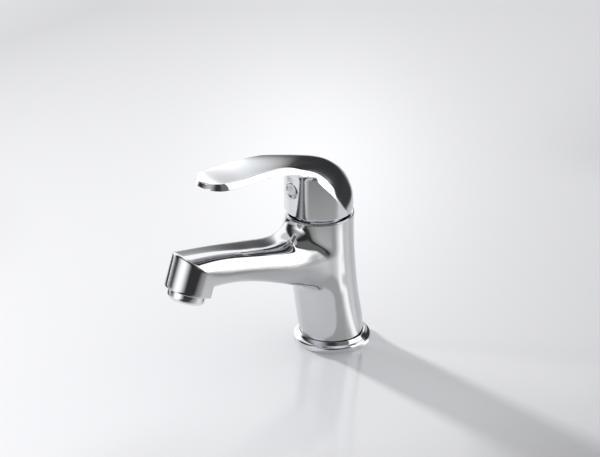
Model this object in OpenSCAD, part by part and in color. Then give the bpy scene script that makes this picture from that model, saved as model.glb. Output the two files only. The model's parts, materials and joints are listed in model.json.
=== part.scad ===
// Single lever basin mixer with a 35 mm ceramic cartridge
// +Z is up, the spout points along -Y, the origin is the centre of the
// base ring on the deck plane. All sizes are in millimetres.

/* [Body] */
// Height of the top face of the body above the deck, mm
body_h = 96.2; // [95.8:0.1:96.6]
// Radius of the body half way up, mm
body_mid_r = 21.7; // [21.6:0.1:22]
// Growth of the radius from there to the top face, mm
body_flare = 0.9; // [0.7:0.1:1]
// Forward lean of the body from foot to top face, mm
lean = 10.6; // [9.5:0.1:11]
// Outer radius of the base ring, mm
ring_r = 25.4; // [25:0.1:27]
// Height of the outer wall of the base ring, mm
ring_h = 4.3; // [3.8:0.1:5]

/* [Spout] */
// Distance of the outlet centre in front of the base centre, mm
reach = 117.6; // [115:0.2:120]
// Height of the nozzle rim centre above the deck, mm
rim_z = 71.4; // [70:0.2:73]
// Forward tilt of the nozzle from the vertical, degrees
nozzle_tilt = 19; // [18:0.5:21]
// Half width of the nozzle, mm
nozzle_r = 15.6; // [15.4:0.1:16.2]
// Radius of the water channel in the spout, mm
channel_r = 6.5; // [6:0.1:7]

/* [Handle] */
// Overhang of the handle cap over the body, mm
cap_over = 0.8; // [0.7:0.1:1]
// Gap between body and handle at the front, mm
seam_gap = 3.5; // [3.4:0.1:3.8]
// Distance of the lever tip in front of the body top axis, mm
lever_l = 98.4; // [92:0.2:102]
// Lift of the lever from shut to fully open, degrees
lift = 14; // [10:1:14]
// Height of the index plug above the body top face, mm
plug_up = 21.3; // [20.6:0.1:22]

/* [Cartridge] */
// Radius of the ceramic cartridge housing, mm
cart_r = 17.5; // [17.4:0.1:17.5]
// Height of the lever pivot above the body top face, mm
pivot_up = 9.8; // [9.7:0.1:10]

/* [Aerator] */
// Radius of the aerator casing, mm
aer_r = 12.65; // [12.5:0.05:13]
// Height of the aerator casing below the nozzle rim, mm
aer_h = 6.8; // [6:0.2:8]

/* [Hidden] */
$fn = 96;
e = 0.01;
axis_y = -lean;
body_top_r = body_mid_r + body_flare;
cap_r = body_top_r + cap_over;
foot_r = ring_r - 4.8;
ring_bore = ring_r - 8.4;
gasket_r = ring_r - 2.3;
seat_z = body_h - 30.2;
base_top_z = seat_z + 6.5;
disc_z = base_top_z + 4.5;
carrier_z = disc_z + 0.02 + 4;
shoulder_z = body_h - 4.2;
neck_z = body_h + 2.8;
piv_z = body_h + pivot_up;
ball_z = carrier_z + 0.6 + 3.55;
arm = piv_z - ball_z;
plug_z = body_h + plug_up;
nozzle_back = 7.2;
mitre_z = 17;
nozzle_keel = 14.2;
hood_r = 18.4;
hand_z = body_h + 1.6;
notch = 0.25;
ledge_r = body_top_r - 0.4;
hood_ledge = 0.5;
seal_r = ledge_r - 1.6;
cap_in = cap_r - 2.8;
seal_h = 1.4;
inlet_x = 8;
inlet_y = axis_y + 4.3;
outlet_y = axis_y - 7.6;
cavity_r = 15.5;
cavity_y = -3;
cavity_top = 46;
stud_y = 3.2;
sock = 4.05;
far = 80;
lever_end = 86;
cap_h = 36;

// colours
chrome = [0.82, 0.84, 0.86];
brass = [0.78, 0.66, 0.36];
rubber = [0.12, 0.12, 0.12];
white = [0.92, 0.92, 0.90];
grey = [0.55, 0.57, 0.60];
blue = [0.35, 0.45, 0.60];
ceram = [0.95, 0.94, 0.90];
steel = [0.70, 0.71, 0.73];

// smooth interpolation through a list of rows, t runs from 0 to len - 1
function cr(a, b, c, d, u) =
  let (k1 = c - a, k2 = 2 * a - 5 * b + 4 * c - d, k3 = 3 * b - a - 3 * c + d)
  0.5 * (2 * b + k1 * u + k2 * u * u + k3 * u * u * u);
function row(l, i) = l[max(0, min(len(l) - 1, i))];
function spl(l, t) =
  let (i = min(floor(t), len(l) - 2))
  cr(row(l, i - 1), row(l, i), row(l, i + 1), row(l, i + 2), t - i);

// solid through a stack of rings that all have the same number of points
module loft(rings) {
  n = len(rings[0]);
  m = len(rings);
  sides = [for (i = [0 : m - 2]) for (j = [0 : n - 1])
    let (a = i * n + j, b = i * n + (j + 1) % n)
    each [[a, a + n, b + n], [a, b + n, b]]];
  caps = [[for (j = [0 : n - 1]) j], [for (j = [n - 1 : -1 : 0]) (m - 1) * n + j]];
  polyhedron(points = [for (r = rings) for (p = r) p], faces = concat(sides, caps), convexity = 8);
}

// centre line and radius of the leaning body at height z
function lean_y(z) = -lean * sin(90 * pow(max(0, z - 4) / (body_h - 4), 1.05));
body_rows = [
  [0, foot_r], [8, foot_r + 0.5], [16, body_mid_r - 0.05], [30, body_mid_r - 0.2],
  [46, body_mid_r - 0.1], [62, body_mid_r + 0.2], [80, body_mid_r + 0.5], [body_h, body_top_r]];
function body_r(z) =
  let (places = [for (i = [0 : len(body_rows) - 1]) [body_rows[i][0], i]])
  spl(body_rows, lookup(z, places))[1];

// one ring of the leaning body at height z
function body_ring(z) = [for (k = [0 : 59]) [body_r(z) * cos(6 * k), lean_y(z) + body_r(z) * sin(6 * k), z]];

// outline of spout and nozzle: round top, straight sides, shallow keel
// w half width, h height of the round top, s straight side, k keel depth
function cap_pt(a, w, h) = [w * cos(a), h * sin(a)];
function outline(w, h, s, k) = concat(
  [for (i = [0 : 20]) cap_pt(9 * i, w, h)],
  [for (i = [0 : 8]) let (q = -1 + i / 4) [w * q, -s - k * (1 - q * q)]]);

// spout stations: y, top height, side height below the top, corner height, keel, half width
spout_rows = [
  [-10, 90, 76, 48.5, 2.5, 21.6],
  [-19, 89.8, 75, 49.5, 2.5, 20.8],
  [-27, 88.8, 74, 51, 2.6, 20.3],
  [-34, 86.4, 73.2, 53.8, 2.8, 19.9],
  [-41, 85.4, 73.4, 57.4, 3, 19.4],
  [-50, 86.2, 75.2, 61.8, 3, 18.8],
  [-62, 88.3, 78.2, 66.8, 3, 17.9],
  [-76, 91, 81.2, 71.6, 3, 17],
  [-90, 93.7, 83.6, 75, 3, 16.2],
  [-101, 95.4, 84.4, 76.6, 3, 15.8]];
function spout_ring(t) =
  let (s = spl(spout_rows, t))
  [for (p = outline(s[5], s[1] - s[2], s[2] - s[3], s[4])) [p[0], s[0], s[2] + p[1]]];

// nozzle frame: c is up the nozzle axis, q points to the back of the nozzle
function noz(x, q, c) =
  let (ct = cos(nozzle_tilt), st = sin(nozzle_tilt))
  [x, -reach + q * ct + c * st, rim_z - q * st + c * ct];
// height of the mitre plane above the rim for the depth q
function mitre_c(q) =
  mitre_z - 0.41 * min(0, q) - 1.3 * max(0, min(q, nozzle_back)) - 0.3 * max(0, q - nozzle_back);
function nozzle_ring(c, f) = [
  for (p = outline(nozzle_r, nozzle_r, nozzle_back, nozzle_keel - nozzle_back))
    noz(p[0], -p[1], c + f * mitre_c(-p[1]))];

module on_axis(z) {
  translate([0, axis_y, z]) children();
}

module nozzle_frame() {
  translate([0, -reach, rim_z]) rotate([-nozzle_tilt, 0, 0]) children();
}

module body_outer() {
  loft([for (i = [0 : 24]) body_ring(3 + (body_h - 3) * i / 24)]);
  loft([for (i = [0 : 27]) spout_ring(i / 3), nozzle_ring(0, 1), nozzle_ring(0, 0)]);
}

// water ways, cartridge chamber and fixing holes of the body
module body_cuts() {
  // open lower cavity for the supply hoses
  translate([0, cavity_y, -1]) cylinder(r = cavity_r, h = cavity_top + 1);
  // cartridge chamber and the thread above it
  on_axis(seat_z) cylinder(r = cart_r + 0.15, h = 60);
  on_axis(shoulder_z) cylinder(r = 18.5, h = 60);
  on_axis(body_h - 1.2) difference() {
    cylinder(r = seal_r + 0.75, h = 5);
    translate([0, 0, -1]) cylinder(r = seal_r - 0.75, h = 8);
  }
  // inlets with hose threads
  for (s = [-1, 1]) {
    translate([s * inlet_x, inlet_y, cavity_top - 1]) cylinder(r = 4.5, h = 15, $fn = 48);
    translate([s * inlet_x, inlet_y, cavity_top + 10]) cylinder(r = 3, h = 12, $fn = 48);
  }
  // fixing stud
  translate([0, stud_y, cavity_top - 1]) cylinder(r = 3.4, h = 13, $fn = 48);
  // mixed water down, forward and along the spout
  translate([0, outlet_y, seat_z - 9]) cylinder(r = 4.2, h = 12, $fn = 48);
  translate([0, outlet_y + 2, seat_z - 6.4]) rotate([78, 0, 0]) cylinder(r = 4.6, h = 22, $fn = 48);
  translate([0, -34, 68.2]) rotate([90 - 13.6, 0, 0]) cylinder(r = channel_r, h = 78, $fn = 48);
  // aerator thread and the swirl chamber above it
  nozzle_frame() translate([0, 0, -1]) cylinder(r = 12, h = 10.2);
  nozzle_frame() cylinder(r = 9.6, h = 15);
}

module body() {
  color(chrome) difference() {
    body_outer();
    body_cuts();
  }
}

module base_ring() {
  h = ring_h;
  r = ring_r;
  color(chrome) rotate_extrude() polygon([
    [ring_bore, 0], [ring_bore + 1.4, 0], [ring_bore + 1.4, 1.6],
    [gasket_r + 0.1, 1.6], [gasket_r + 0.1, 0], [r, 0], [r + 0.15, 0.4],
    [r, h - 0.5], [r - 0.2, h - 0.15], [r - 0.6, h], [r - 1.4, h + 0.2],
    [r - 2.1, h + 0.75], [r - 2.7, h + 1.6], [r - 3.1, h + 2.5], [r - 3.3, h + 2.8],
    [r - 3.6, h + 2.8], [r - 3.6, 3], [ring_bore, 3]]);
}

module base_gasket() {
  color(rubber) rotate_extrude() polygon([
    [ring_bore + 1.5, 0], [gasket_r, 0], [gasket_r, 1.5], [ring_bore + 1.5, 1.5]]);
}

// hole pattern shared by the cartridge base and the fixed disc
module ports(h, r_in, r_out) {
  for (s = [-1, 1]) {
    translate([s * 6.6, 4.3, 0]) cylinder(r = r_in, h = h, $fn = 48);
  }
  translate([0, -7.6, 0]) cylinder(r = r_out, h = h, $fn = 48);
}

module cartridge_base() {
  color(grey) on_axis(seat_z) difference() {
    union() {
      cylinder(r = cart_r, h = 3);
      cylinder(r = 15, h = 6.5);
    }
    for (s = [-1, 1]) {
      translate([s * 6.6, 4.3, -e]) cylinder(r = 5.1, h = 1.5, $fn = 48);
    }
    translate([0, -7.6, -e]) cylinder(r = 5.8, h = 1.5, $fn = 48);
    translate([0, 0, -1]) ports(12, 2.8, 3.6);
  }
}

module port_seal(r, ri) {
  rotate_extrude($fn = 48) polygon([[ri, 0], [r, 0], [r, seal_h], [ri, seal_h]]);
}

module seal_hot() {
  color(rubber) translate([-6.6, axis_y + 4.3, seat_z]) port_seal(5, 3.3);
}

module seal_cold() {
  color(rubber) translate([6.6, axis_y + 4.3, seat_z]) port_seal(5, 3.3);
}

module seal_outlet() {
  color(rubber) translate([0, axis_y - 7.6, seat_z]) port_seal(5.7, 4.2);
}

module fixed_disc() {
  color(ceram) on_axis(base_top_z) difference() {
    cylinder(r = 14.4, h = 4.5);
    translate([0, 0, -1]) ports(7, 2.8, 3.6);
  }
}

module moving_disc() {
  color(ceram) on_axis(disc_z + 0.02) difference() {
    translate([0, 2.4, 0]) cylinder(r = 11.9, h = 4);
    // hollow that joins the open inlets with the outlet
    translate([0, -2.2, -e]) scale([1, 0.7, 1]) cylinder(r = 7, h = 2.2, $fn = 48);
  }
}

module disc_carrier() {
  color(white) on_axis(carrier_z) difference() {
    intersection() {
      translate([0, 2.4, 0]) cylinder(r = 11.9, h = 5.2);
      translate([-9.3, -20, 0]) cube([18.6, 40, 6]);
    }
    translate([0, 0, 0.6]) cylinder(r = 3.5, h = 6, $fn = 48);
  }
}

module cartridge_housing() {
  color(grey) on_axis(seat_z + 3) {
    h = shoulder_z - seat_z - 3;
    difference() {
      union() {
        cylinder(r = cart_r, h = h);
        cylinder(r = 13, h = neck_z - seat_z - 3);
      }
      translate([0, 0, -1]) cylinder(r = 15.1, h = h - 2);
      translate([0, 0, -1]) cylinder(r = 9.5, h = 60);
    }
    // raised arc that stops the temperature ring
    translate([0, 0, neck_z - seat_z - 3]) difference() {
      cylinder(r = 13, h = 2.2);
      translate([0, 0, -1]) cylinder(r = 12, h = 5);
      translate([0, 0, -1]) linear_extrude(5) polygon([[0, 0], [-23.87, -14.63], [0, -60], [23.87, -14.63]]);
    }
  }
}

module rotor() {
  z0 = shoulder_z - 5.4;
  color(white) on_axis(0) difference() {
    union() {
      translate([0, 0, z0]) cylinder(r = 14.6, h = 2.3);
      translate([0, 0, z0]) cylinder(r = 9.4, h = piv_z + 3 - z0);
      for (s = [-1, 1]) {
        translate([s * 10.6 - 1.2, -8, z0 - 4.4]) cube([2.4, 16, 5]);
      }
    }
    translate([-4.15, -7.8, z0 - 5]) cube([8.3, 13.4, 60]);
    // room for the ball end at full lift
    translate([-4.15, -9, z0 - 5]) cube([8.3, 5, 7.3]);
    translate([-30, 0, piv_z]) rotate([0, 90, 0]) cylinder(r = 2.02, h = 60, $fn = 48);
  }
}

module pivot_pin() {
  color(steel) translate([-8.4, axis_y, piv_z]) rotate([0, 90, 0]) cylinder(r = 2, h = 16.8, $fn = 48);
}

module spindle() {
  color(brass) on_axis(0) difference() {
    union() {
      translate([0, 0, ball_z]) sphere(r = 3.42, $fn = 48);
      translate([0, 0, ball_z]) cylinder(r = 2.4, h = arm - 6, $fn = 48);
      translate([-4, -4, piv_z - 6.5]) cube([8, 8, 24.5]);
    }
    translate([-30, 0, piv_z]) rotate([0, 90, 0]) cylinder(r = 2.05, h = 60, $fn = 48);
  }
}

module limit_ring() {
  color(blue) on_axis(neck_z + 0.2) difference() {
    union() {
      cylinder(r = 11.7, h = 2);
      intersection() {
        cylinder(r = 12.8, h = 2);
        linear_extrude(2) polygon([[0, 0], [-4.2, -30], [4.2, -30]]);
      }
    }
    translate([0, 0, -1]) cylinder(r = 9.45, h = 5);
  }
}

module cartridge_nut() {
  color(brass) on_axis(shoulder_z) difference() {
    union() {
      cylinder(r = 18.4, h = 4);
      cylinder(r = 16.6, h = 9);
    }
    translate([0, 0, -1]) cylinder(r = 13.2, h = 12);
    // six slots for the box spanner
    for (a = [0 : 60 : 300]) {
      rotate([0, 0, a]) translate([12, -2, 7]) cube([8, 4, 4]);
    }
  }
}

module hood_seal() {
  color(rubber) on_axis(body_h - 0.6) rotate_extrude() translate([seal_r, 0]) circle(r = 0.6, $fn = 24);
}

module hood() {
  r = hood_r;
  t = pivot_up - 0.3;
  color(chrome) on_axis(body_h) rotate_extrude() polygon([
    [r - 1.7, 0], [ledge_r - 0.3, 0], [ledge_r, 0.15], [ledge_r, 0.35],
    [ledge_r - 0.2, hood_ledge], [r + 0.3, hood_ledge],
    [r, 1], [r, t - 3.9], [r - 0.3, t - 2.6], [r - 1, t - 1.5], [r - 2.1, t - 0.6],
    [r - 3.4, t - 0.1], [13.6, t], [13.6, t - 1.5], [r - 3.6, t - 1.6],
    [r - 2.4, t - 2.3], [r - 1.7, t - 3.3]]);
}

// handle stations from the back of the cap over the top to the lever tip:
// centre line y z, crisp edge x y z, lower junction x y z; y from the top axis
hy = axis_y;
handle_rows = [
  [cap_r - 0.8, 0, cap_r - 1.7, 7.2, 0, cap_r - 0.7, 5.6, 0],
  [cap_r - 0.4, 9.5, cap_r - 1.9, 3.2, 9.5, cap_r - 0.15, 2, 7.5],
  [cap_r - 2.6, 17.3, cap_r - 2.4, -1, 17.5, cap_r - 0.2, -3, 14.5],
  [cap_r - 6.8, 24.8, cap_r - 3.4, -6.2, 25.2, cap_r - 1.5, -8.3, 21.4],
  [10, 30.6, cap_r - 5.4, -12.6, 32.2, cap_r - 4.1, -13.2, 27.4],
  [1.8, 35.6, cap_r - 8.1, -20, 37, cap_r - 7.8, -17.4, 31.6],
  [-11, 39.6, 13.3, -28.4, 40.2, 12.6, -23.8, 33.4],
  [-31, 43.3, 12.2, -39.5, 42.9, 11.2, -33.4, 36.4],
  [-55, 46, 12.1, -57, 45.4, 10.9, -51.5, 39.7],
  [-73, 47.6, 13, -73.5, 47, 11.6, -72.4, 40.8],
  [-lever_end, 48.6, 13.2, -lever_end, 48, 11.8, -lever_end, 42.2]];
function hrow(t) = spl(handle_rows, t);
function hring(s) =
  let (c = 68)
  concat(
    [for (i = [0 : 20])
      let (a = c - 2 * c * i / 20, k = (1 - cos(a)) / (1 - cos(c)))
      [s[2] * sin(a) / sin(c), hy + s[0] + (s[3] - s[0]) * k, hand_z + s[1] + (s[4] - s[1]) * k]],
    [[-s[5], hy + s[6], hand_z + s[7]], [s[5], hy + s[6], hand_z + s[7]]]);
// round end of the lever: u runs from 0 to 1
function tiprow(u) =
  let (r = handle_rows[len(handle_rows) - 1], g = sqrt(max(0, 1 - u * u)))
  let (l = (lever_l - lever_end) * u, dip = 0.8 * u - 1.4 * u * u * u)
  [r[0] - l, r[1] + dip, r[2] * g, r[3] - l, r[4] + dip, r[5] * g, r[6] - l + u, r[7] + 1.2 * u + 1.2 * u * u];
// front outline of the cap wall, y and z
wall_line = [
  [-far, 0], [6.2, 0], [2.3, 7.5], [-2.7, 14.5], [-8, 21.4],
  [-12.9, 27.4], [-17.1, 31.8], [-20, 33.6], [-far, 33.6]];

module handle_solid() {
  ends = [0.2, 0.4, 0.58, 0.73, 0.85, 0.93, 0.98];
  loft(concat([for (i = [0 : 30]) hring(hrow(i / 3))], [for (u = ends) hring(tiprow(u))]));
  // cap wall in front of the junction line
  intersection() {
    on_axis(hand_z) cylinder(r = cap_r, h = cap_h);
    rotate([90, 0, 90]) linear_extrude(far, center = true) polygon([for (p = wall_line) [hy + p[0], hand_z + p[1]]]);
  }
}

module handle() {
  color(chrome) difference() {
    union() {
      difference() {
        handle_solid();
        // hollow inside of the cap
        on_axis(hand_z) rotate_extrude() polygon([
          [0, -5], [cap_in, -5], [cap_in, 8], [cap_in - 0.3, 11], [cap_in - 1.7, 16],
          [cap_in - 4, 20], [cap_in - 7.6, 24], [cap_in - 12.6, 27], [0, 28.5]]);
      }
      // socket boss for the spindle
      on_axis(piv_z + 5.6) cylinder(r = 7.6, h = hand_z + 31 - piv_z - 5.6, $fn = 64);
    }
    on_axis(piv_z) translate([-sock, -sock, 0]) cube([2 * sock, 2 * sock, 18.3]);
    // lower edge, raised at the back so the lever can lift
    on_axis(hand_z - far) translate([-far / 2, -far / 2, 0]) cube([far, far, far + seam_gap - 1.6]);
    translate([0, hy + 11.4, body_h + seam_gap - 0.1]) rotate([90, 0, 90]) linear_extrude(far, center = true)
      polygon([[0, 0], [far, 0], [far, notch * far]]);
    // set screw thread and seat of the index plug
    translate([0, hy - 3, plug_z]) rotate([90, 0, 0]) cylinder(r = 2.5, h = cap_r, $fn = 48);
    translate([0, hy - 12, plug_z]) rotate([90, 0, 0]) cylinder(r = 4.6, h = cap_r, $fn = 48);
    translate([0, hy - cap_r + 1.1, plug_z]) rotate([90, 0, 0]) cylinder(r = 5.9, h = cap_r, $fn = 64);
  }
}

module set_screw() {
  color(steel) translate([0, hy - 4, plug_z]) rotate([90, 0, 0]) difference() {
    cylinder(r = 2.42, h = 5, $fn = 48);
    translate([0, 0, 2.5]) cylinder(r = 1.45, h = 5, $fn = 6);
  }
}

module index_plug() {
  color(chrome) translate([0, hy - cap_r + 1.1, plug_z]) rotate([90, 0, 0]) {
    rotate_extrude($fn = 64) polygon([[0, 0], [5.8, 0], [5.8, 1], [5.5, 1.3], [4.6, 1.45], [0, 1.6]]);
    translate([0, 0, -3]) cylinder(r = 4.5, h = 3.2, $fn = 48);
  }
}

module aerator_casing() {
  r = aer_r;
  b = -aer_h;
  color(chrome) nozzle_frame() rotate_extrude() polygon([
    [10.2, 6], [11.9, 6], [11.9, 0], [r, -0.1], [r, b + 1.8], [r - 0.5, b + 0.7], [r - 1.4, b + 0.1],
    [r - 2, b], [r - 3, b], [r - 3.4, b + 0.5], [r - 3.4, b + 1.4], [10.2, b + 1.6]]);
}

module jet_former() {
  color(white) nozzle_frame() difference() {
    translate([0, 0, -aer_h + 1.7]) cylinder(r = 10.1, h = 6.6);
    translate([0, 0, -aer_h + 3]) cylinder(r = 8.6, h = 8);
    for (r = [2.6, 5.4], a = [0 : 60 : 300]) {
      rotate([0, 0, a + r * 10]) translate([r, 0, -aer_h]) cylinder(r = 0.9, h = 6, $fn = 24);
    }
  }
}

module aerator_screen() {
  color(steel) nozzle_frame() translate([0, 0, -aer_h + 8.4]) difference() {
    cylinder(r = 10.1, h = 0.6);
    for (x = [-6.4 : 3.2 : 6.4], y = [-6.4 : 3.2 : 6.4]) {
      translate([x, y, -1]) cylinder(r = 1.1, h = 3, $fn = 16);
    }
  }
}

module flow_regulator() {
  color(blue) nozzle_frame() translate([0, 0, -aer_h + 9.1]) difference() {
    cylinder(r = 10.1, h = 3.6);
    for (a = [0 : 45 : 315]) {
      rotate([0, 0, a]) translate([6, 0, -1]) cylinder(r = 1.5, h = 6, $fn = 24);
    }
  }
}

module aerator_gasket() {
  color(rubber) nozzle_frame() translate([0, 0, 6.1]) difference() {
    cylinder(r = 11.8, h = 2.1);
    translate([0, 0, -1]) cylinder(r = 8.4, h = 5);
  }
}

body();
base_ring();
base_gasket();
cartridge_base();
seal_hot();
seal_cold();
seal_outlet();
cartridge_housing();
fixed_disc();
moving_disc();
disc_carrier();
rotor();
pivot_pin();
spindle();
limit_ring();
cartridge_nut();
hood_seal();
hood();
handle();
set_screw();
index_plug();
aerator_casing();
aerator_gasket();
flow_regulator();
jet_former();
aerator_screen();
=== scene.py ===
"""Chrome basin mixer: finished surfaces, materials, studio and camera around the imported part.

Shapes are worked out in millimetres and put into the meshes in metres.
"""

import json
import math

import bpy
import numpy as np
from bpy.props import FloatProperty, FloatVectorProperty, PointerProperty
from bpy.types import Operator, Panel, PropertyGroup
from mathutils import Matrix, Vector


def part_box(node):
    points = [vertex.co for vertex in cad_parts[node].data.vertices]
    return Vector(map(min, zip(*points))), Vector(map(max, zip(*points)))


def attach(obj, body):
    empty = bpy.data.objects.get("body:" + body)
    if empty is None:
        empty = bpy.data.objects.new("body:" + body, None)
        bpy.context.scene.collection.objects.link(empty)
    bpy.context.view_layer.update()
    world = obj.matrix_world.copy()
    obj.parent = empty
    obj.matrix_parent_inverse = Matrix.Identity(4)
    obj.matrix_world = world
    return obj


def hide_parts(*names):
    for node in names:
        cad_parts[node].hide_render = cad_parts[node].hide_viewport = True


bl_info = {
    "name": "Basin mixer finish",
    "version": (1, 0, 0),
    "blender": (4, 5, 0),
    "location": "View3D > Sidebar > Mixer",
    "description": "Builds the chrome surfaces, finishes and studio of a single lever basin mixer",
    "category": "Object",
}

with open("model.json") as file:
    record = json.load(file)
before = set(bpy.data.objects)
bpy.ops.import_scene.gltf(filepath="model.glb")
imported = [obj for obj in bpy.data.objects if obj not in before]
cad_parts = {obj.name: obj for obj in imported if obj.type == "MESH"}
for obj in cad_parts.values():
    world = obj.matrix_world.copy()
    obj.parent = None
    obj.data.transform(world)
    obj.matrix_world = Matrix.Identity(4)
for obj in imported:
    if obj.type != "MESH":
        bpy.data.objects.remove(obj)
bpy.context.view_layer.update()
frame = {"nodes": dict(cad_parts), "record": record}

MM = 0.001
WELD = 1e-3  # points closer than this become one
CREASE = math.radians(35.0)  # edges sharper than this stay crisp

# main sizes in millimetres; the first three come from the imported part
TOP_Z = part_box("hood")[0].z / MM  # top face of the body
AXIS_Y = (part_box("hood")[0].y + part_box("hood")[1].y) / 2 / MM  # axis of the top face, in front of the foot
RING_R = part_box("base_ring")[1].x / MM - 0.15  # foot of the base ring, 0.15 inside its widest line
CAP_R = 23.4
HAND_Z = TOP_Z + 1.6  # plane that the handle's heights are measured from
SEAM_Z = TOP_Z + 3.5  # lower edge of the cap
LEVER_L = 95.2  # from the top axis to the lever's end
PLUG_Z = TOP_Z + 21.3
REACH = 117.6  # from the foot's middle to the nozzle axis at the rim
RIM_Z = 71.4
NOZZLE_TILT = math.radians(19)
NOZZLE_R = 15.6  # round front
NOZZLE_BACK = 7.2  # length of the flat sides behind it
NOZZLE_KEEL = 7.0  # crown of the back wall


# ---------------------------------------------------------------- curves and grids


def spline(knots, values, at):
    """Natural cubic spline: value(x) through (knots, values), second derivative zero at both ends.

    knots is (K,), values (K, ...), at (n,); the result is (n, ...). Past the ends it runs on straight.
    """
    x = np.asarray(knots, float)
    y = np.asarray(values, float).reshape(len(x), -1)
    h = np.diff(x)
    a = np.eye(len(x))
    rhs = np.zeros_like(y)
    for i in range(1, len(x) - 1):
        a[i, i - 1 : i + 2] = h[i - 1], 2 * (h[i - 1] + h[i]), h[i]
        rhs[i] = 6 * ((y[i + 1] - y[i]) / h[i] - (y[i] - y[i - 1]) / h[i - 1])
    m = np.linalg.solve(a, rhs)
    t = np.asarray(at, float).ravel()
    inside = np.clip(t, x[0], x[-1])
    k = np.clip(np.searchsorted(x, inside) - 1, 0, len(x) - 2)
    u = ((inside - x[k]) / h[k])[:, None]
    hk = h[k][:, None]
    val = (1 - u) * y[k] + u * y[k + 1]
    val += hk**2 / 6 * (((1 - u) ** 3 - (1 - u)) * m[k] + (u**3 - u) * m[k + 1])
    slope = (y[k + 1] - y[k]) / hk + hk / 6 * ((1 - 3 * (1 - u) ** 2) * m[k] + (3 * u**2 - 1) * m[k + 1])
    val += slope * (t - inside)[:, None]
    return val.reshape(np.shape(at) + np.shape(values)[1:])


def table(rows, at):
    """Spline through rows of (position, value, value ...); returns the value columns at each position."""
    rows = np.asarray(rows, float)
    return spline(rows[:, 0], rows[:, 1:], at)


def smoothstep(lo, hi, x):
    """Goes from 0 at lo to 1 at hi as 3t^2 - 2t^3; lo may lie over hi."""
    t = np.clip((np.asarray(x, float) - lo) / (hi - lo), 0, 1)
    return t * t * (3 - 2 * t)


def soft_min(a, b, k):
    """The lower of a and b, rounded where they differ by less than k: min - k/6 (1 - |a-b|/k)^3."""
    h = np.maximum(k - np.abs(a - b), 0) / k
    return np.minimum(a, b) - h**3 * k / 6


def bend(before, corner, after, size, steps=5):
    """Rows of points that round a corner: a quadratic curve from size before it to size after it."""
    into = before - corner
    out = after - corner
    into /= np.linalg.norm(into, axis=-1, keepdims=True)
    out /= np.linalg.norm(out, axis=-1, keepdims=True)
    size = np.broadcast_to(np.asarray(size, float), corner.shape[:-1])[..., None]
    a, c = corner + into * size, corner + out * size
    return [
        (1 - t) ** 2 * a + 2 * t * (1 - t) * corner + t**2 * c
        for t in np.linspace(0, 1, steps)
    ]


def quads(rows, cols, wrap=False):
    """Vertex numbers of the faces of a grid of rows x cols points, wrapped across the columns or not."""
    i = np.arange(rows - 1)[:, None] * cols
    j = np.arange(cols if wrap else cols - 1)[None, :]
    k = (j + 1) % cols
    return np.stack([i + j, i + k, i + cols + k, i + cols + j], -1).reshape(-1, 4)


class Skin:
    """Gathers grids of points, in millimetres, and welds them into one mesh."""

    def __init__(self):
        self.points, self.faces, self.count = [], [], 0

    def grid(self, rows, wrap=False, flip=False):
        p = np.asarray(rows, float)
        f = quads(p.shape[0], p.shape[1], wrap) + self.count
        self.points.append(p.reshape(-1, 3))
        self.faces.append(f[:, ::-1] if flip else f)
        self.count += p.shape[0] * p.shape[1]
        return self

    def mesh(self, name):
        """Welds points that meet and drops the faces that closed up at poles."""
        p = np.concatenate(self.points)
        f = np.concatenate(self.faces)
        _, first, place = np.unique(
            np.round(p / WELD).astype(np.int64), axis=0, return_index=True, return_inverse=True
        )
        p, f = p[first], place.ravel()[f]
        same = f == np.roll(f, 1, axis=1)
        full = f[~same.any(axis=1)]
        once = same.sum(axis=1) == 1
        tri = f[once][~same[once]].reshape(-1, 3)
        mesh = bpy.data.meshes.new(name)
        mesh.from_pydata((p * MM).tolist(), [], full.tolist() + tri.tolist())
        mesh.validate()
        mesh.update()
        return mesh


def finish_piece(name, skin, body, material, node):
    """Makes a skin a smooth piece with crisp edges that rides on its body in place of the node's solid."""
    mesh = skin.mesh(name)
    mesh.polygons.foreach_set("use_smooth", np.ones(len(mesh.polygons), bool))
    mesh.set_sharp_from_angle(angle=CREASE)
    mesh.materials.append(material)
    piece = bpy.data.objects.new(name, mesh)
    bpy.context.scene.collection.objects.link(piece)
    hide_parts(node)
    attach(piece, body)


# ---------------------------------------------------------------- body and spout

# height, radius
BODY_RADIUS = [
    (0, 20.6), (8, 21.1), (16, 21.65), (30, 21.5), (46, 21.6), (62, 21.9), (80, 22.2), (96.2, 22.6),
]
LEAN_START = 4  # the foot stands upright up to here

# y, height of the top, of the sides' upper edge and of the lower corners, keel depth, half width
SPOUT = [
    (-126, 98.6, 85.6, 78.6, 3.0, 15.6),
    (-101, 95.4, 84.4, 76.6, 3.0, 15.8),
    (-90, 93.7, 83.4, 75.0, 3.0, 16.2),
    (-76, 91.0, 81.0, 71.6, 3.0, 17.0),
    (-62, 88.3, 78.2, 66.8, 3.0, 17.9),
    (-50, 86.1, 75.3, 61.8, 3.0, 18.8),
    (-41, 85.3, 73.6, 57.4, 3.0, 19.5),
    (-34, 85.6, 73.0, 54.2, 2.8, 20.1),
    (-27, 86.4, 73.0, 51.4, 2.6, 20.7),
    (-21, 87.0, 73.0, 49.4, 2.5, 21.2),
    (-15, 87.4, 73.0, 48.0, 2.5, 21.6),
    (-9, 87.6, 73.0, 47.0, 2.5, 21.4),
    (-3, 87.8, 73.0, 46.0, 2.5, 20.2),
    (3, 88.0, 73.0, 45.0, 2.5, 17.5),
]
SPOUT_STATIONS = [-58, -65, -73, -82, -92.0]  # y of the rings that the visible spout's lines pass through
MITRE_ROUND = 1.3  # rounding along the mitre
LIP_ROUND = 0.45  # rounding of the nozzle's rim

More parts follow.
